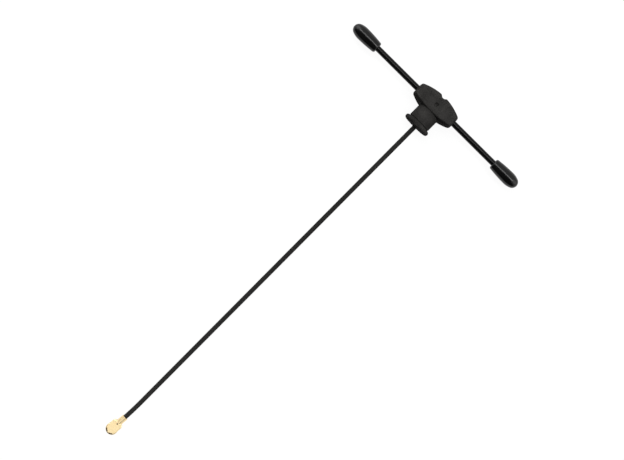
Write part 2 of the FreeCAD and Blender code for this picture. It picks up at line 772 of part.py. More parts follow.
def draw_lid_slot(sketch, side, outer_radius):
    """One of the two curved slots beside the fold at the front of the lid."""
    inner_radius = outer_radius - D.lid_slot_width
    near = (sine(D.lid_slot_start) * side, -cosine(D.lid_slot_start))
    far = (sine(D.lid_slot_end) * side, -cosine(D.lid_slot_end))
    first, last = (near, far) if side > 0 else (far, near)
    radii = (inner_radius, outer_radius)
    spots = [(ray[0] * radius, ray[1] * radius) for radius in radii for ray in (first, last)]
    angles = [math.atan2(ray[1].value, ray[0].value) for ray in (first, last)]
    inner = sketch.addGeometry(arc(point(0, 0), inner_radius.value, *angles), False)
    outer = sketch.addGeometry(arc(point(0, 0), outer_radius.value, *angles), False)
    start = sketch_line(sketch, point(*spots[0]), point(*spots[2]))
    end = sketch_line(sketch, point(*spots[1]), point(*spots[3]))
    for curve, line, curve_end, line_end in (
        (inner, start, 1, 1), (outer, start, 1, 2), (inner, end, 2, 1), (outer, end, 2, 2)
    ):
        constrain(sketch, "Coincident", curve, curve_end, line, line_end)
    for curve, radius in ((inner, inner_radius), (outer, outer_radius)):
        constrain(sketch, "Coincident", curve, 3, -1, 1)
        constrain(sketch, "Radius", curve, size=radius)
    constrain(sketch, "DistanceX", -1, 1, start, 1, size=spots[0][0])
    constrain(sketch, "DistanceX", -1, 1, start, 2, size=spots[2][0])
    constrain(sketch, "DistanceX", -1, 1, end, 1, size=spots[1][0])
    constrain(sketch, "DistanceX", -1, 1, end, 2, size=spots[3][0])


def make_plug_insulator(strip_floor):
    """The insulating disc and tail under the lid, with a tunnel for the contact strip and the core."""
    body = new_body("plug_insulator")
    height = LID_TOP - D.sheet_thickness - FIT - D.insulator_floor
    disc = new_sketch(body, "XY_Plane", D.insulator_floor)
    draw_circle(disc, ZERO, ZERO, D.barrel_diameter / 2 - D.sheet_thickness - FIT)
    pad(body, disc, height)
    half_tail = D.insulator_tail_width / 2
    tail = new_sketch(body, "XY_Plane", D.insulator_floor)
    draw_outline(tail, [
        (-half_tail, ZERO),
        (half_tail, ZERO),
        (half_tail, D.insulator_tail_end),
        (-half_tail, D.insulator_tail_end),
    ])
    pad(body, tail, height)
    tunnel = new_sketch(body, "XZ_Plane", -D.insulator_tail_end - OVERCUT)
    half_tunnel = D.contact_diameter / 2 + FIT
    tunnel_top = D.plug_cable_height + CORE_RADIUS + FIT
    draw_outline(tunnel, [
        (-half_tunnel, strip_floor - FIT),
        (half_tunnel, strip_floor - FIT),
        (half_tunnel, tunnel_top),
        (-half_tunnel, tunnel_top),
    ])
    pocket(body, tunnel, D.insulator_tail_end + half_tunnel + OVERCUT, reverse=True)
    hole = new_sketch(body, "XY_Plane")
    draw_circle(hole, ZERO, ZERO, half_tunnel)
    pocket(body, hole, strip_floor, reverse=True)
    return place_plug(body)


def make_plug_contact(strip_floor):
    """The centre socket and the strip that carries it, in line with the core of the cable."""
    body = new_body("plug_contact")
    strip_top = strip_floor + D.contact_thickness
    socket = new_sketch(body, "XZ_Plane")
    bore_radius = D.contact_bore_diameter / 2
    contact_radius = D.contact_diameter / 2
    draw_outline(socket, [
        (bore_radius, D.contact_floor),
        (contact_radius, D.contact_floor),
        (contact_radius, strip_top),
        (ZERO, strip_top),
        (ZERO, strip_floor),
        (bore_radius, strip_floor),
    ])
    turn_about(body, socket, "V_Axis")
    strip = new_sketch(body, "XY_Plane", strip_floor)
    half_strip = D.contact_strip_width / 2
    draw_outline(strip, [
        (-half_strip, ZERO),
        (half_strip, ZERO),
        (half_strip, D.contact_strip_end),
        (-half_strip, D.contact_strip_end),
    ])
    pad(body, strip, D.contact_thickness)
    return place_plug(body)


def make_plug():
    """The plug and the stripped end of the cable in it."""
    make_plug_shell()
    strip_floor = D.plug_cable_height - CORE_RADIUS - FIT - D.contact_thickness
    make_plug_insulator(strip_floor)
    make_plug_contact(strip_floor)
    braid_start = D.plug_jacket_end - D.plug_braid_length
    dielectric_start = D.plug_jacket_end - D.plug_dielectric_length
    core_start = dielectric_start - D.plug_core_length
    plug_rod("plug_core_end", CORE_RADIUS, core_start, D.plug_core_length)
    dielectric = plug_rod(
        "plug_dielectric_end", DIELECTRIC_RADIUS, dielectric_start, D.plug_dielectric_length
    )
    braid = plug_rod("plug_braid_bar", BRAID_RADIUS, braid_start, D.plug_braid_length)
    cut("plug_braid_end", braid, dielectric)


NODES = [
    "t_housing",
    "left_arm_sleeve",
    "right_arm_sleeve",
    "left_element_wire",
    "right_element_wire",
    "left_end_cap",
    "right_end_cap",
    "feed_dielectric_end",
    "feed_core_tail",
    "feed_braid_tail",
    "left_solder_joint",
    "right_solder_joint",
    "coax_cable",
    "plug_shell",
    "plug_insulator",
    "plug_contact",
    "plug_braid_end",
    "plug_dielectric_end",
    "plug_core_end",
]


def check_and_write():
    """Stop at any failed object or bad solid, then write each sub-part."""
    for item in DOC.Objects:
        if {"Invalid", "Error"} & set(item.State):
            raise RuntimeError(f"{item.Label} failed: {item.State}")
    shapes = {label: DOC.getObjectsByLabel(label)[0].Shape for label in NODES}
    for label, shape in shapes.items():
        if shape.isNull() or not shape.isValid() or len(shape.Solids) != 1:
            raise RuntimeError(f"{label} is not one valid solid")
    os.makedirs("parts", exist_ok=True)
    for label, shape in shapes.items():
        shape.exportStep(os.path.join("parts", f"{label}.step"))
        print(f"{label}: {shape.Volume:.3f} mm3")


make_housing()
make_cable()
make_plug()
DOC.recompute()
check_and_write()
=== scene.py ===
"""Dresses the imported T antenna: moulded housing, glossy arms and end caps, thin cable and gold plug.

Pieces are modelled in millimetres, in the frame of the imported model, and scaled to metres at the end.
"""

import math

import bmesh
import bpy
from mathutils import Matrix, Vector


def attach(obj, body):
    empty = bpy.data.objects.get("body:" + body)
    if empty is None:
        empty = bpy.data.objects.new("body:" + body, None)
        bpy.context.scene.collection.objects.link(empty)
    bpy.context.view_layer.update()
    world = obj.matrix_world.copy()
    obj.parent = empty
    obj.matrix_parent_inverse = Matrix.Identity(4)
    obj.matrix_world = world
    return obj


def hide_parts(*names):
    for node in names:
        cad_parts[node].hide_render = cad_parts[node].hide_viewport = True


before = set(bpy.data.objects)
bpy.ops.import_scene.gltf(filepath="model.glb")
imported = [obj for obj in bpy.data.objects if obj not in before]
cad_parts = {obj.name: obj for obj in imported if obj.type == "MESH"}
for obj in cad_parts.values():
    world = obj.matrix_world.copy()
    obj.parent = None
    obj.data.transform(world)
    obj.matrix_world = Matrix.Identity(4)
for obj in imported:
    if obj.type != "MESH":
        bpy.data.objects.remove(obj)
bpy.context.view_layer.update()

MM = 0.001
# The arms and the neck lie at half the depth of the housing
AXIS_HEIGHT = 3.25
DEPTH = 2 * AXIS_HEIGHT
CENTRE = Vector((0, 0, AXIS_HEIGHT))
# Clearance round a piece in its room, and how far a cut runs past the surface
FIT = 0.02
OVERCUT = 0.5
# Places closer than this count as one, and vertices closer than the next are merged
NEAR = 0.001
MERGE_REACH = 0.0005
# Sharpest angle, in degrees, that still shades smoothly
CREASE = 35.0
HOUSING_CREASE = 45.0

# Cross piece, from a flat face to the middle: level, length, height and height of the short ends
CROSS_LENGTH = 12.0
CROSS_HALF = [
    (AXIS_HEIGHT, 11.2, 3.9, 2.6),
    (1.6, 11.5, 4.8, 2.8),
    (1.3, 11.9, 5.84, 3.1),
    (0.0, CROSS_LENGTH, 6.0, 3.2),
]
CROSS_LEVELS = CROSS_HALF + [(-level, *sizes) for level, *sizes in CROSS_HALF[-2::-1]]
# Levels whose edges are the shoulders
SHOULDERS = (2, 4)
CORNER_RADIUS = 0.4
FACE_ROUNDING = 0.25
SHOULDER_ROUNDING = 0.12
DIMPLE_RADIUS = 0.575
DIMPLE_DEPTH = 0.45
DIMPLE_ROUNDING = 0.4
NOTCH_FLOOR = 2.4
NOTCH_FLOOR_WIDTH = 0.5
NOTCH_MOUTH = 3.6
NOTCH_MOUTH_WIDTH = 3.5
HOUSING_VOXEL = 0.075
HOUSING_SMOOTHINGS = 8
SMOOTHING_SHARE = 0.5
# Neck, as radius and place along Y from inside the cross piece to the groove above the bead of the collar
NECK_OUTLINE = [(0.0, -0.6), (2.925, -0.6), (2.925, -5.52), (2.68, -5.58), (2.68, -5.7), (2.849, -5.749)]
BEAD_CENTRE = (2.95, -6.32)
BEAD_SWEEP = -190.0
COLLAR_END = -6.9
# Half the width of the blocks that cut the collar level with the flat faces
COLLAR_REACH = 4.0

SLEEVE_START = 2.5
SLEEVE_END = 24.51
SLEEVE_RADIUS = 0.75
SLEEVE_BORE = 0.42
CAP_START = 19.33
CAP_LENGTH = 7.72
CAP_WIDEST = 5.07
CAP_RADIUS = 1.71
CAP_MOUTH_RADIUS = 1.37
CAP_LIP = 0.45
CAP_TIP_RADIUS = 1.45
CAP_BORE_DEPTH = 5.2

# The cable's route, with the points of the part's source
CABLE_POINTS = [
    (0.0, -2.4, 3.25),
    (0.0, -16.003, 3.25),
    (0.0, -34.017, 2.2373),
    (0.0, -57.972, 0.7982),
    (0.0, -82.214, 0.585),
    (0.0, -95.725, 0.7982),
    (0.0, -102.719, 1.05),
    (-0.2887, -106.308, 1.05),
]
CABLE_DIAMETER = 1.13
CABLE_ROOM = CABLE_DIAMETER / 2 + FIT

# Plug, about the axis of its barrel, with the cable coming in along Y
PLUG_CENTRE = (-0.4852, -108.75, 0)
PLUG_TURN = math.radians(-4.6)
PLUG_CABLE_HEIGHT = 1.05
SHEET = 0.18
BARREL_RADIUS = 1.475
BARREL_LIP = 0.25
BRIM_ROUNDING = 0.22
MOUTH_RADIUS = 1.025
LID_TOP = 1.71
LID_UNDERCUT = 0.05
LID_CUT_FLOOR = LID_TOP - SHEET - LID_UNDERCUT
LID_CUT_TOP = LID_TOP + OVERCUT
SLOT_WIDTH = 0.22
SLOT_MARGIN = 0.01
# Where a slot starts beside the front of the lid, and how far it runs, in degrees
SLOT_START = 10
SLOT_SWEEP = 45
VENT_RADIUS = 0.18
VENT_PLACE = 1.75
SLIT_WIDTH = 0.12
SLIT_TOP = 0.75
WING_FLOOR = 0.39
WING_HALF_WIDTH = 1.375
WING_END = 2.0
# Corners of the outline where the wings turn in to the crimp
WING_CORNERS = (2, 5)
WING_ROUNDING = 0.3
FOLD_ROUNDING = 0.2
CRIMP_START = 2.35
CRIMP_END = 4.15
CRIMP_OVERLAP = 0.2
CRIMP_RADIUS = CABLE_ROOM + SHEET
CABLE_ROOM_START = 1.5

# Share of the grain in the mottle, and the stretch of it that runs from dark to light
GRAIN_SHARE = 0.45
MOTTLE_DARKEST = 0.32
MOTTLE_LIGHTEST = 0.68

# Stage, in metres
FLOOR_HALF_WIDTH = 4.0
FLOOR_HEIGHT = -0.00002
FLOOR_GREY = 0.1
FLOOR_WHITE = 0.93
# Lamps: name, place, spot they point at, width and depth, radiance straight ahead and spread.
# The plug's panel is narrow enough to leave the arms out
WIDE = math.pi
NARROW = math.radians(80)
LAMPS = [
    ("left_key", (-0.9, 0.4, 0.55), (0, -0.03, 0), (0.9, 0.9), 1.9, WIDE),
    ("right_key", (0.9, 0.4, 0.55), (0, -0.03, 0), (0.9, 0.9), 1.1, WIDE),
    ("overhead_strip", (0, 0.22, 0.88), (0, 0, 0), (1.2, 0.2), 5.2, WIDE),
    ("plug_panel", (0, -0.126, 0.1), (0, -0.108, 0), (0.12, 0.05), 1.2, NARROW),
]
# Sky: direction where it starts to brighten and is brightest, and its radiance there
SKY_DARK = 0.04
SKY_CROWN = (-0.1, 0.45, 0.32)
SKY_SIDES = (0.15, 0.55, 0.7)
SKY_SIDES_TURN = 1.0
CAMERA_PLACE = (-0.000017, -0.041537, 0.385)
CAMERA_TURN = math.radians(44.826)
CAMERA_LENS = 92.84
CAMERA_SENSOR = 36.0
CAMERA_NEAREST = 0.01


def place_object(name, data):
    """Put a new object with its data into the scene."""
    placed = bpy.data.objects.new(name, data)
    bpy.context.scene.collection.objects.link(placed)
    return placed


def mesh_object(name, bm):
    """Turn a shape into an object of the scene."""
    mesh = bpy.data.meshes.new(name)
    bm.to_mesh(mesh)
    bm.free()
    return place_object(name, mesh)


def put_away(holder):
    """Remove an object that was only needed for a step, with its mesh."""
    mesh = holder.data
    bpy.data.objects.remove(holder)
    bpy.data.meshes.remove(mesh)


def workbench(bm, *modifiers):
    """Run a shape through modifiers, given as a kind and its settings, and bring the result back."""
    holder = mesh_object("workbench", bm)
    for kind, settings in modifiers:
        modifier = holder.modifiers.new(kind.lower(), kind)
        for name, value in settings.items():
            setattr(modifier, name, value)
    shaped = holder.evaluated_get(bpy.context.evaluated_depsgraph_get())
    result = bmesh.new()
    result.from_mesh(shaped.to_mesh())
    shaped.to_mesh_clear()
    put_away(holder)
    return result


def combine(bm, operation, tool_shapes):
    """Add the tool shapes to a shape or cut them out of it."""
    tools = [mesh_object("cutting_tool", close_shell(shape)) for shape in tool_shapes]
    steps = [("BOOLEAN", {"operation": operation, "object": tool, "solver": "EXACT"}) for tool in tools]
    result = workbench(bm, *steps)
    for tool in tools:
        put_away(tool)
    return result


def close_shell(bm):
    """Merge the seams and poles and turn the faces outwards."""
    bmesh.ops.remove_doubles(bm, verts=bm.verts, dist=MERGE_REACH)
    bmesh.ops.recalc_face_normals(bm, faces=bm.faces)
    return bm


def finish_piece(name, bm, finish, nodes, crease=CREASE):
    """Make the finished object of a shape, in metres, in place of its CAD nodes."""
    bmesh.ops.scale(bm, vec=(MM, MM, MM), verts=bm.verts)
    for face in bm.faces:
        face.smooth = True
    piece = mesh_object(name, bm)
    piece.data.set_sharp_from_angle(angle=math.radians(crease))
    piece.data.materials.append(finish)
    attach(piece, "root")
    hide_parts(*nodes)
    return piece


def sweep_arc(bm, vert, centre, degrees, steps):
    """Draw an arc from a vertex about a centre in the XY plane and give its last vertex."""
    turned = bmesh.ops.spin(
        bm, geom=[vert], cent=centre, axis=(0, 0, 1), angle=math.radians(degrees), steps=steps
    )
    return next(item for item in turned["geom_last"] if isinstance(item, bmesh.types.BMVert))


def draw_to(bm, vert, spot):
    """Draw a straight edge from a vertex to a spot and give the vertex there."""
    drawn = bmesh.ops.extrude_vert_indiv(bm, verts=[vert])["verts"][0]
    drawn.co = spot
    return drawn


def turn_profile(bm, centre, axis, steps):
    """Turn the profile that was drawn into a closed round shape."""
    profile = bm.verts[:] + bm.edges[:]
    bmesh.ops.spin(bm, geom=profile, cent=centre, axis=axis, angle=math.tau, steps=steps, use_merge=True)
    return close_shell(bm)


def round_off(bm, geom, size, segments, affect="EDGES"):
    """Round edges, or the corners of a face at its vertices."""
    bmesh.ops.bevel(
        bm, geom=geom, offset=size, offset_type="OFFSET", affect=affect, segments=segments, profile=0.5,
        material=-1
    )


def rod_shape(radius, start, end, steps=48):
    """A closed rod between two points."""
    bm = bmesh.new()
    run = Vector(end) - Vector(start)
    turn = run.to_track_quat("Z", "Y").to_matrix().to_4x4()
    place = Matrix.Translation((Vector(start) + Vector(end)) / 2) @ turn
    bmesh.ops.create_cone(
        bm, cap_ends=True, segments=steps, radius1=radius, radius2=radius, depth=run.length, matrix=place
    )
    return bm


def block_shape(low, high):
    """A closed block between two corners."""
    bm = bmesh.new()
    low, high = Vector(low), Vector(high)
    place = Matrix.Translation((low + high) / 2) @ Matrix.Diagonal((*(high - low), 1))
    bmesh.ops.create_cube(bm, size=1, matrix=place)
    return bm


def plate_shape(outline, floor, top, rounded=(), rounding=0.0):
    """A closed plate with a drawn outline, and the corners that are numbered rounded."""
    bm = bmesh.new()
    corners = [bm.verts.new((x, y, floor)) for x, y in outline]
    bm.faces.new(corners)
    if rounded:
        round_off(bm, [corners[index] for index in rounded], rounding, segments=6, affect="VERTICES")
    raised = bmesh.ops.extrude_face_region(bm, geom=bm.faces[:], use_keep_orig=True)["geom"]
    bmesh.ops.translate(
        bm, vec=(0, 0, top - floor), verts=[item for item in raised if isinstance(item, bmesh.types.BMVert)]
    )
    return close_shell(bm)


def cross_level(bm, level, length, height, end_height):
    """One level of the cross piece, as a face with arched long sides and rounded corners."""
    known = set(bm.verts)
    half = length / 2
    sag = (height - end_height) / 2
    arch = (half * half + sag * sag) / (2 * sag)
    arch_sweep = 2 * math.degrees(math.asin(half / arch))
    right = bm.verts.new((half, end_height / 2, level))
    left = sweep_arc(bm, right, (0, height / 2 - arch, level), arch_sweep, steps=20)
    upper = [vert for vert in bm.verts if vert not in known]
    chain = upper + list({edge for vert in upper for edge in vert.link_edges})
    copy = bmesh.ops.mirror(bm, geom=chain, matrix=Matrix.Identity(4), merge_dist=-1, axis="Y")["geom"]
    lower = [item for item in copy if isinstance(item, bmesh.types.BMVert)]
    low_right = max(lower, key=lambda vert: vert.co.x)
    low_left = min(lower, key=lambda vert: vert.co.x)
    bmesh.ops.contextual_create(bm, geom=[right, low_right])
    bmesh.ops.contextual_create(bm, geom=[left, low_left])
    rim = list({edge for vert in upper + lower for edge in vert.link_edges})
    bmesh.ops.contextual_create(bm, geom=rim)
    round_off(bm, [right, left, low_right, low_left], CORNER_RADIUS, segments=6, affect="VERTICES")
    return next(face for face in bm.faces if abs(face.calc_center_median().z - level) < NEAR)


def cross_piece():
    """The cross piece of the housing, lofted through its levels and rounded along its edges."""
    bm = bmesh.new()
    faces = [cross_level(bm, *sizes) for sizes in CROSS_LEVELS]
    rims = [list(face.edges) for face in faces]
    bmesh.ops.delete(bm, geom=faces[1:-1], context="FACES_ONLY")
    for rim, following in zip(rims, rims[1:]):
        bmesh.ops.bridge_loops(bm, edges=rim + following)
    bmesh.ops.recalc_face_normals(bm, faces=bm.faces)
    shoulders = [edge for index in SHOULDERS for edge in rims[index]]
    round_off(bm, shoulders, SHOULDER_ROUNDING, segments=4)
    face_rims = [
        edge for edge in bm.edges
        if all(abs(abs(vert.co.z) - AXIS_HEIGHT) < NEAR for vert in edge.verts)
    ]
    round_off(bm, face_rims, FACE_ROUNDING, segments=5)
    bmesh.ops.translate(bm, vec=CENTRE, verts=bm.verts)
    return close_shell(bm)


def dimple_cut():
    """The round-bottomed dimple in the front face."""
    bm = rod_shape(DIMPLE_RADIUS, (0, 0, DEPTH - DIMPLE_DEPTH), (0, 0, DEPTH + OVERCUT))
    floor = [edge for edge in bm.edges if all(vert.co.z < DEPTH for vert in edge.verts)]
    round_off(bm, floor, DIMPLE_ROUNDING, segments=8)
    return bm


def notch_cut():
    """The shallow notch across the crown of the cross piece, wider at its mouth."""
    half = NOTCH_MOUTH_WIDTH / 2
    bm = block_shape((-half, NOTCH_FLOOR, -OVERCUT), (half, NOTCH_MOUTH, DEPTH + OVERCUT))
    middle = (NOTCH_FLOOR + NOTCH_MOUTH) / 2
    for vert in bm.verts:
        if vert.co.y < middle:
            vert.co.x *= NOTCH_FLOOR_WIDTH / NOTCH_MOUTH_WIDTH
    return bm


def arm_socket(side):
    """The room in the housing that the sleeve of an arm goes into."""
    start = side * (SLEEVE_START - FIT)
    end = side * (CROSS_LENGTH / 2 + OVERCUT)
    return rod_shape(SLEEVE_RADIUS + FIT, (start, 0, AXIS_HEIGHT), (end, 0, AXIS_HEIGHT))


def cable_bore():
    """The room in the neck that the cable goes into."""
    return rod_shape(CABLE_ROOM, CABLE_POINTS[0], (0, COLLAR_END - OVERCUT, AXIS_HEIGHT))


def neck_and_collar():
    """The round neck, with a groove above the bead of its collar, cut off level with the flat faces."""
    bm = bmesh.new()
    spots = [Vector((radius, y, AXIS_HEIGHT)) for radius, y in NECK_OUTLINE]
    vert = bm.verts.new(spots[0])
    for spot in spots[1:]:
        vert = draw_to(bm, vert, spot)
    vert = sweep_arc(bm, vert, (*BEAD_CENTRE, AXIS_HEIGHT), BEAD_SWEEP, steps=16)
    draw_to(bm, vert, (0, COLLAR_END, AXIS_HEIGHT))
    turn_profile(bm, CENTRE, (0, 1, 0), steps=96)
    far_end = COLLAR_END - OVERCUT
    return combine(bm, "DIFFERENCE", [
        block_shape((-COLLAR_REACH, far_end, floor), (COLLAR_REACH, 0, top))
        for floor, top in ((-OVERCUT, 0), (DEPTH, DEPTH + OVERCUT))
    ])


def make_housing(finish):
    """The moulded T: a cross piece softened as in a mould, with its neck, dimple, arm sockets and bore."""
    notched = combine(cross_piece(), "DIFFERENCE", [notch_cut()])
    cross = workbench(notched, ("REMESH", {"mode": "VOXEL", "voxel_size": HOUSING_VOXEL}))
    for _ in range(HOUSING_SMOOTHINGS):
        bmesh.ops.smooth_vert(
            cross, verts=cross.verts, factor=SMOOTHING_SHARE,
            use_axis_x=True, use_axis_y=True, use_axis_z=True
        )
    joined = combine(cross, "UNION", [neck_and_collar()])
    bm = combine(joined, "DIFFERENCE", [dimple_cut(), arm_socket(-1), arm_socket(1), cable_bore()])
    close_shell(bm)
    return finish_piece("housing", bm, finish, ["t_housing"], crease=HOUSING_CREASE)


def make_sleeve(name, side, finish):
    """The tube round the conductor of one arm."""
    bm = bmesh.new()
    corner = bm.verts.new((side * SLEEVE_START, SLEEVE_BORE, AXIS_HEIGHT))
    vert = draw_to(bm, corner, (side * SLEEVE_START, SLEEVE_RADIUS, AXIS_HEIGHT))
    vert = draw_to(bm, vert, (side * SLEEVE_END, SLEEVE_RADIUS, AXIS_HEIGHT))
    vert = draw_to(bm, vert, (side * SLEEVE_END, SLEEVE_BORE, AXIS_HEIGHT))
    bmesh.ops.contextual_create(bm, geom=[vert, corner])
    turn_profile(bm, CENTRE, (1, 0, 0), steps=64)
    return finish_piece(f"{name}_sleeve", bm, finish, [f"{name}_arm_sleeve"])


def make_cap(name, side, finish):
    """The bullet cap at the end of one arm, turned from the tip over the nose to its rounded mouth."""
    bm = bmesh.new()
    tip_centre = CAP_LENGTH - CAP_TIP_RADIUS
    lead = tip_centre - CAP_WIDEST
    nose = (lead ** 2 + CAP_RADIUS ** 2 - CAP_TIP_RADIUS ** 2) / (2 * (CAP_RADIUS - CAP_TIP_RADIUS))
    tip_angle = math.degrees(math.atan2(nose - CAP_RADIUS, lead))
    sag = CAP_RADIUS - CAP_MOUTH_RADIUS
    taper = (CAP_WIDEST ** 2 + sag ** 2) / (2 * sag)
    taper_angle = math.degrees(math.asin((CAP_WIDEST - CAP_LIP) / taper))
    vert = bm.verts.new((CAP_LENGTH, 0, 0))
    vert = sweep_arc(bm, vert, (tip_centre, 0, 0), tip_angle, steps=12)
    vert = sweep_arc(bm, vert, (CAP_WIDEST, CAP_RADIUS - nose, 0), 90 - tip_angle, steps=16)
    vert = sweep_arc(bm, vert, (CAP_WIDEST, CAP_RADIUS - taper, 0), taper_angle, steps=16)
    lip_centre = vert.co - Vector((0, CAP_LIP, 0))
    vert = sweep_arc(bm, vert, lip_centre, 90, steps=8)
    vert = draw_to(bm, vert, (0, SLEEVE_RADIUS + FIT, 0))
    vert = draw_to(bm, vert, (CAP_BORE_DEPTH, SLEEVE_RADIUS + FIT, 0))
    draw_to(bm, vert, (CAP_BORE_DEPTH, 0, 0))
    turn_profile(bm, (0, 0, 0), (1, 0, 0), steps=72)
    turn = Matrix.Rotation(0 if side > 0 else math.pi, 4, "Z")
    place = Matrix.Translation((side * CAP_START, 0, AXIS_HEIGHT)) @ turn
    bmesh.ops.transform(bm, matrix=place, verts=bm.verts)
    return finish_piece(f"{name}_cap", bm, finish, [f"{name}_end_cap"])


def make_cable(finish):
    """The free cable, on one smooth spline from inside the neck to inside the crimp of the plug."""
    line = bpy.data.curves.new("cable", "CURVE")
    line.dimensions = "3D"
    line.bevel_depth = CABLE_DIAMETER / 2 * MM
    line.bevel_resolution = 10
    line.resolution_u = 24
    line.use_fill_caps = True
    spline = line.splines.new("NURBS")
    spline.points.add(len(CABLE_POINTS) - 1)
    for control, spot in zip(spline.points, CABLE_POINTS):
        control.co = (*(Vector(spot) * MM), 1)
    spline.order_u = 3
    spline.use_endpoint_u = True
    line.materials.append(finish)
    cable = place_object("cable", line)
    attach(cable, "root")
    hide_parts("coax_cable")
    return cable


def barrel_shape():
    """The plug's round barrel, closed by its lid and rounded at the brim."""
    bm = rod_shape(BARREL_RADIUS, (0, 0, 0), (0, 0, LID_TOP), steps=72)
    brim = [edge for edge in bm.edges if all(vert.co.z > LID_TOP - NEAR for vert in edge.verts)]
    round_off(bm, brim, BRIM_ROUNDING, segments=5)
    return bm


def wing_outline(half_width, crimp_half_width):
    """The outline of the plug's wings, from the middle of the barrel to where they run into the crimp."""
    return [
        (-half_width, 0), (half_width, 0), (half_width, WING_END),
        (crimp_half_width, CRIMP_START), (-crimp_half_width, CRIMP_START), (-half_width, WING_END),
    ]


def wings_shape():
    """The plug's wings, rounded along their folds."""
    outline = wing_outline(WING_HALF_WIDTH, CRIMP_RADIUS)
    bm = plate_shape(outline, WING_FLOOR, LID_TOP, WING_CORNERS, WING_ROUNDING)
    folds = [
        edge for edge in bm.edges
        if abs(edge.verts[0].co.z - edge.verts[1].co.z) < NEAR
        and max(vert.co.y for vert in edge.verts) > NEAR
        and abs(edge.verts[0].co.x) > CRIMP_RADIUS - NEAR
    ]
    round_off(bm, folds, FOLD_ROUNDING, segments=4)
    return bm


def crimp_rod(radius, start, end):
    """A rod round the cable's axis in the plug."""
    return rod_shape(radius, (0, start, PLUG_CABLE_HEIGHT), (0, end, PLUG_CABLE_HEIGHT))


def lid_slot_cut(side):
    """One of the two curved slots beside the fold at the front of the lid."""
    bm = bmesh.new()
    outer = BARREL_RADIUS - SHEET - SLOT_MARGIN
    inner = outer - SLOT_WIDTH
    start = math.radians(-90 + side * SLOT_START)
    ray = Vector((math.cos(start), math.sin(start), 0))
    section = bm.faces.new([
        bm.verts.new(ray * radius + Vector((0, 0, height)))
        for radius, height in (
            (inner, LID_CUT_FLOOR), (outer, LID_CUT_FLOOR), (outer, LID_CUT_TOP), (inner, LID_CUT_TOP)
        )
    ])
    sweep = side * math.radians(SLOT_SWEEP)
    bmesh.ops.spin(bm, geom=[section], cent=(0, 0, 0), axis=(0, 0, 1), angle=sweep, steps=14)
    return bm


def plug_cuts():
    """What is cut out of the plug: mouth, rooms, seam, slits, slots and vent."""
    slit = SLIT_WIDTH / 2
    slit_reach = BARREL_RADIUS + OVERCUT
    wing_room = wing_outline(WING_HALF_WIDTH - SHEET, CABLE_ROOM)
    return [
        rod_shape(MOUTH_RADIUS, (0, 0, -OVERCUT), (0, 0, OVERCUT), steps=72),
        rod_shape(BARREL_RADIUS - SHEET, (0, 0, BARREL_LIP), (0, 0, LID_TOP - SHEET), steps=72),
        plate_shape(wing_room, WING_FLOOR + SHEET, LID_TOP - SHEET),
        crimp_rod(CABLE_ROOM, CABLE_ROOM_START, CRIMP_END + OVERCUT),
        block_shape((-slit, BARREL_RADIUS + SHEET, -OVERCUT), (slit, CRIMP_END + OVERCUT, PLUG_CABLE_HEIGHT)),
        block_shape((-slit_reach, -slit, -OVERCUT), (slit_reach, slit, SLIT_TOP)),
        lid_slot_cut(-1),
        lid_slot_cut(1),
        rod_shape(VENT_RADIUS, (0, VENT_PLACE, LID_CUT_FLOOR), (0, VENT_PLACE, LID_CUT_TOP), steps=24),
    ]


def make_plug_shell(finish):
    """The plug's folded sheet: barrel and lid, wings and crimp, with its slots, slits, seam and vent."""
    crimp = crimp_rod(CRIMP_RADIUS, CRIMP_START - CRIMP_OVERLAP, CRIMP_END)
    outside = combine(barrel_shape(), "UNION", [wings_shape(), crimp])
    bm = combine(outside, "DIFFERENCE", plug_cuts())
    close_shell(bm)
    place = Matrix.Translation(PLUG_CENTRE) @ Matrix.Rotation(PLUG_TURN, 4, "Z")
    bmesh.ops.transform(bm, matrix=place, verts=bm.verts)
    return finish_piece("plug_sheet", bm, finish, ["plug_shell"])


def feed(tree, node, entries):
    """Link or set inputs of a node, by name or number."""
    for socket, entry in entries.items():
        if isinstance(entry, bpy.types.NodeSocket):
            tree.links.new(entry, node.inputs[socket])
        else:
            node.inputs[socket].default_value = entry


def add_node(tree, kind, entries=None, **settings):
    """Add a shader node to a tree, with its settings made and its inputs linked or set."""
    node = tree.nodes.new(f"ShaderNode{kind}")
    for name, value in settings.items():
        setattr(node, name, value)
    feed(tree, node, entries or {})
    return node


def reckon(tree, operation, *entries, use_clamp=False):
    """Add a Math node to a tree and give its result."""
    node = add_node(tree, "Math", dict(enumerate(entries)), operation=operation, use_clamp=use_clamp)
    return node.outputs[0]


def new_group(name, inputs, outputs):
    """An empty node group with named sockets, and its input and output nodes."""
    group = bpy.data.node_groups.new(name, "ShaderNodeTree")
    for in_out, sockets in (("INPUT", inputs), ("OUTPUT", outputs)):
        for socket, kind in sockets.items():
            group.interface.new_socket(name=socket, in_out=in_out, socket_type=f"NodeSocket{kind}")
    return group, group.nodes.new("NodeGroupInput"), group.nodes.new("NodeGroupOutput")


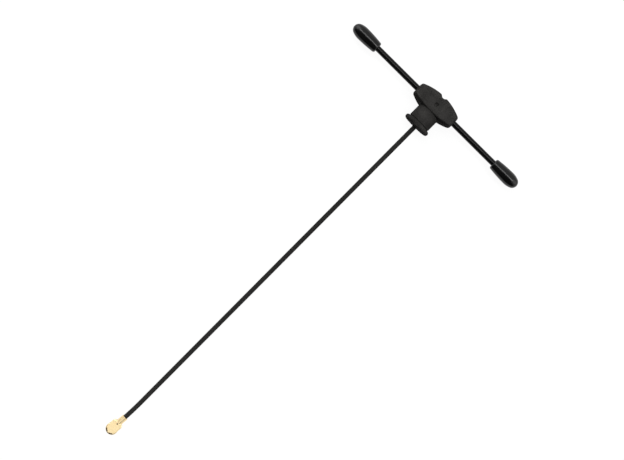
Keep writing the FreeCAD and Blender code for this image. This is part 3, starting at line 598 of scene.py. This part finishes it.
def surface_mottle():
    """Cloudy change of tone and gloss over a fine grain, as on moulded plastic and plated sheet."""
    group, given, result = new_group(
        "surface_mottle",
        {
            "Place": "Vector", "Cloud Scale": "Float", "Grain Scale": "Float",
            "Dark": "Color", "Light": "Color", "Smooth": "Float", "Rough": "Float",
        },
        {"Color": "Color", "Roughness": "Float", "Height": "Float"},
    )
    entry = given.outputs
    cloud = add_node(
        group, "TexNoise", {"Vector": entry["Place"], "Scale": entry["Cloud Scale"], "Detail": 4.0}
    )
    grain = add_node(
        group, "TexNoise", {"Vector": entry["Place"], "Scale": entry["Grain Scale"], "Detail": 2.0}
    )
    clouds = reckon(group, "MULTIPLY", cloud.outputs["Fac"], 1 - GRAIN_SHARE)
    blend = reckon(group, "MULTIPLY_ADD", grain.outputs["Fac"], GRAIN_SHARE, clouds)
    spread = add_node(
        group, "MapRange", {"Value": blend, "From Min": MOTTLE_DARKEST, "From Max": MOTTLE_LIGHTEST}
    ).outputs["Result"]
    tone = add_node(
        group, "Mix", {"Factor": spread, "A": entry["Dark"], "B": entry["Light"]}, data_type="RGBA"
    )
    gloss = add_node(group, "Mix", {"Factor": spread, "A": entry["Smooth"], "B": entry["Rough"]})
    feed(group, result, {
        "Color": tone.outputs["Result"],
        "Roughness": gloss.outputs["Result"],
        "Height": grain.outputs["Fac"],
    })
    return group


def mottled_finish(name, group, scales, tones, gloss, depth, specular=0.5, metallic=0.0):
    """A material that takes its tone, gloss and grain, of a depth in metres, from the mottle group."""
    material = bpy.data.materials.new(name)
    material.use_nodes = True
    tree = material.node_tree
    place = add_node(tree, "TexCoord").outputs["Object"]
    sockets = ("Place", "Cloud Scale", "Grain Scale", "Dark", "Light", "Smooth", "Rough")
    values = (place, *scales, *tones, *gloss)
    mottle = add_node(tree, "Group", dict(zip(sockets, values)), node_tree=group)
    bump = add_node(tree, "Bump", {"Height": mottle.outputs["Height"], "Distance": depth, "Strength": 1.0})
    feed(tree, tree.nodes["Principled BSDF"], {
        "Base Color": mottle.outputs["Color"],
        "Roughness": mottle.outputs["Roughness"],
        "Normal": bump.outputs["Normal"],
        "Specular IOR Level": specular,
        "Metallic": metallic,
    })
    return material


def grey(value):
    """A grey tone of full strength."""
    return (value, value, value, 1)


def make_finishes():
    """Every finish of the antenna, by its material slot."""
    mottle = surface_mottle()
    return {
        "housing": mottled_finish(
            "moulded_black", mottle, scales=(350, 5200), gloss=(0.74, 0.92), depth=0.00003, specular=0.03,
            tones=((0.014, 0.0136, 0.013, 1), (0.05, 0.0483, 0.046, 1))
        ),
        "arm_sleeve": mottled_finish(
            "glossy_sleeve", mottle, scales=(260, 1500), gloss=(0.16, 0.26), depth=0.00002, specular=0.2,
            tones=(grey(0.002), grey(0.004))
        ),
        "end_cap": mottled_finish(
            "glossy_cap", mottle, scales=(220, 900), gloss=(0.14, 0.24), depth=0.00002, specular=0.36,
            tones=(grey(0.002), grey(0.004))
        ),
        "cable_jacket": mottled_finish(
            "cable_jacket", mottle, scales=(180, 4200), gloss=(0.42, 0.58), depth=0.00002, specular=0.04,
            tones=((0.0165, 0.016, 0.0152, 1), (0.0255, 0.0246, 0.0235, 1))
        ),
        "gold_sheet": mottled_finish(
            "gold_plate", mottle, scales=(500, 5000), gloss=(0.2, 0.28), depth=0.000004, metallic=1.0,
            tones=((0.93, 0.69, 0.36, 1), (1.0, 0.83, 0.5, 1))
        ),
        "conductor": mottled_finish(
            "tinned_wire", mottle, scales=(600, 5000), gloss=(0.25, 0.4), depth=0.00001, metallic=1.0,
            tones=((0.55, 0.5, 0.44, 1), (0.75, 0.72, 0.68, 1))
        ),
        "braid": mottled_finish(
            "silver_braid", mottle, scales=(900, 7000), gloss=(0.28, 0.5), depth=0.00003, metallic=1.0,
            tones=((0.45, 0.44, 0.42, 1), (0.78, 0.77, 0.74, 1))
        ),
        "solder": mottled_finish(
            "soft_solder", mottle, scales=(700, 4000), gloss=(0.2, 0.38), depth=0.00001, metallic=1.0,
            tones=(grey(0.5), grey(0.7))
        ),
        "dielectric": mottled_finish(
            "milky_dielectric", mottle, scales=(500, 5000), gloss=(0.35, 0.5), depth=0.00001,
            tones=((0.72, 0.72, 0.7, 1), (0.84, 0.84, 0.82, 1))
        ),
        # Dark brown insulator: partly its own tone and partly painted shade, so that the lid's slots above it
        # read dark
        "insulator": mottled_finish(
            "dark_insulator_slot_shade", mottle, scales=(500, 5000), gloss=(0.4, 0.6), depth=0.00002,
            tones=((0.025, 0.017, 0.011, 1), (0.045, 0.031, 0.02, 1))
        ),
    }


def dress_inner_nodes(finishes):
    """Give the CAD nodes that stay their finishes."""
    slots = {
        "conductor": ["left_element_wire", "right_element_wire", "feed_core_tail", "plug_core_end"],
        "braid": ["feed_braid_tail", "plug_braid_end"],
        "solder": ["left_solder_joint", "right_solder_joint"],
        "dielectric": ["feed_dielectric_end", "plug_dielectric_end"],
        "insulator": ["plug_insulator"],
        "gold_sheet": ["plug_contact"],
    }
    for slot, names in slots.items():
        for name in names:
            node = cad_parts[name]
            for entry in node.material_slots:
                entry.material = finishes[slot]


def floor_finish():
    """A pale floor that the camera and mirrors see as white, and that lights the antenna only a little."""
    material = bpy.data.materials.new("pale_floor")
    material.use_nodes = True
    tree = material.node_tree
    tree.nodes.clear()
    path = add_node(tree, "LightPath").outputs
    seen = reckon(tree, "ADD", path["Is Glossy Ray"], path["Is Camera Ray"], use_clamp=True)
    through = reckon(tree, "ADD", seen, path["Is Transmission Ray"], use_clamp=True)
    white = add_node(tree, "Emission", {"Strength": reckon(tree, "MULTIPLY", through, FLOOR_WHITE)})
    paper = add_node(tree, "BsdfDiffuse", {"Color": grey(FLOOR_GREY)})
    both = add_node(tree, "AddShader", {0: paper.outputs[0], 1: white.outputs[0]})
    add_node(tree, "OutputMaterial", {"Surface": both.outputs[0]})
    return material


def make_floor():
    """A large floor just under the antenna, which keeps its soft shadow."""
    bm = bmesh.new()
    bmesh.ops.create_grid(bm, x_segments=1, y_segments=1, size=FLOOR_HALF_WIDTH)
    bmesh.ops.translate(bm, vec=(0, 0, FLOOR_HEIGHT), verts=bm.verts)
    floor = mesh_object("floor", bm)
    floor.data.materials.append(floor_finish())


def make_lamp(name, place, aim, size, radiance, spread):
    """A soft rectangular lamp that points at a spot."""
    width, depth = size
    lamp = bpy.data.lights.new(name, "AREA")
    lamp.shape = "RECTANGLE"
    lamp.size = width
    lamp.size_y = depth
    lamp.spread = spread
    lamp.energy = radiance * math.pi * width * depth * (1 - spread / 2 / math.tan(spread / 2))
    holder = place_object(name, lamp)
    holder.location = place
    holder.rotation_euler = (Vector(aim) - Vector(place)).to_track_quat("-Z", "Y").to_euler()
    holder.visible_camera = False


def sky_fall(tree, direction, start, end, radiance):
    """How the sky brightens along a direction."""
    fall = add_node(
        tree, "MapRange",
        {"Value": direction, "From Min": start, "From Max": end, "To Min": SKY_DARK, "To Max": radiance},
        interpolation_type="SMOOTHSTEP"
    )
    return fall.outputs["Result"]


def make_sky():
    """A sky that is bright above the crown and to both sides, and dark on the side of the plug."""
    world = bpy.data.worlds.new("studio")
    world.use_nodes = True
    tree = world.node_tree
    direction = add_node(tree, "SeparateXYZ", {0: add_node(tree, "TexCoord").outputs["Generated"]}).outputs
    either_side = reckon(tree, "ABSOLUTE", direction["X"])
    sideways = reckon(tree, "MULTIPLY_ADD", direction["Y"], SKY_SIDES_TURN, either_side)
    crown = sky_fall(tree, direction["Y"], *SKY_CROWN)
    sides = sky_fall(tree, sideways, *SKY_SIDES)
    strength = reckon(tree, "MAXIMUM", crown, sides)
    feed(tree, tree.nodes["Background"], {"Color": grey(1.0), "Strength": strength})
    bpy.context.scene.world = world


def make_camera():
    """The photograph's view: straight down, with the arms running to the lower right."""
    lens = bpy.data.cameras.new("camera")
    lens.sensor_width = CAMERA_SENSOR
    lens.lens = CAMERA_LENS
    lens.clip_start = CAMERA_NEAREST
    camera = place_object("camera", lens)
    camera.location = CAMERA_PLACE
    camera.rotation_euler = (0, 0, CAMERA_TURN)
    bpy.context.scene.camera = camera


make_camera()
for lamp in LAMPS:
    make_lamp(*lamp)
make_sky()
make_floor()
finishes = make_finishes()
dress_inner_nodes(finishes)
cable = make_cable(finishes["cable_jacket"])
make_housing(finishes["housing"])
for arm, side in (("left", -1), ("right", 1)):
    make_sleeve(arm, side, finishes["arm_sleeve"])
    make_cap(arm, side, finishes["end_cap"])
plug_sheet = make_plug_shell(finishes["gold_sheet"])
bpy.context.scene.view_settings.view_transform = "Standard"
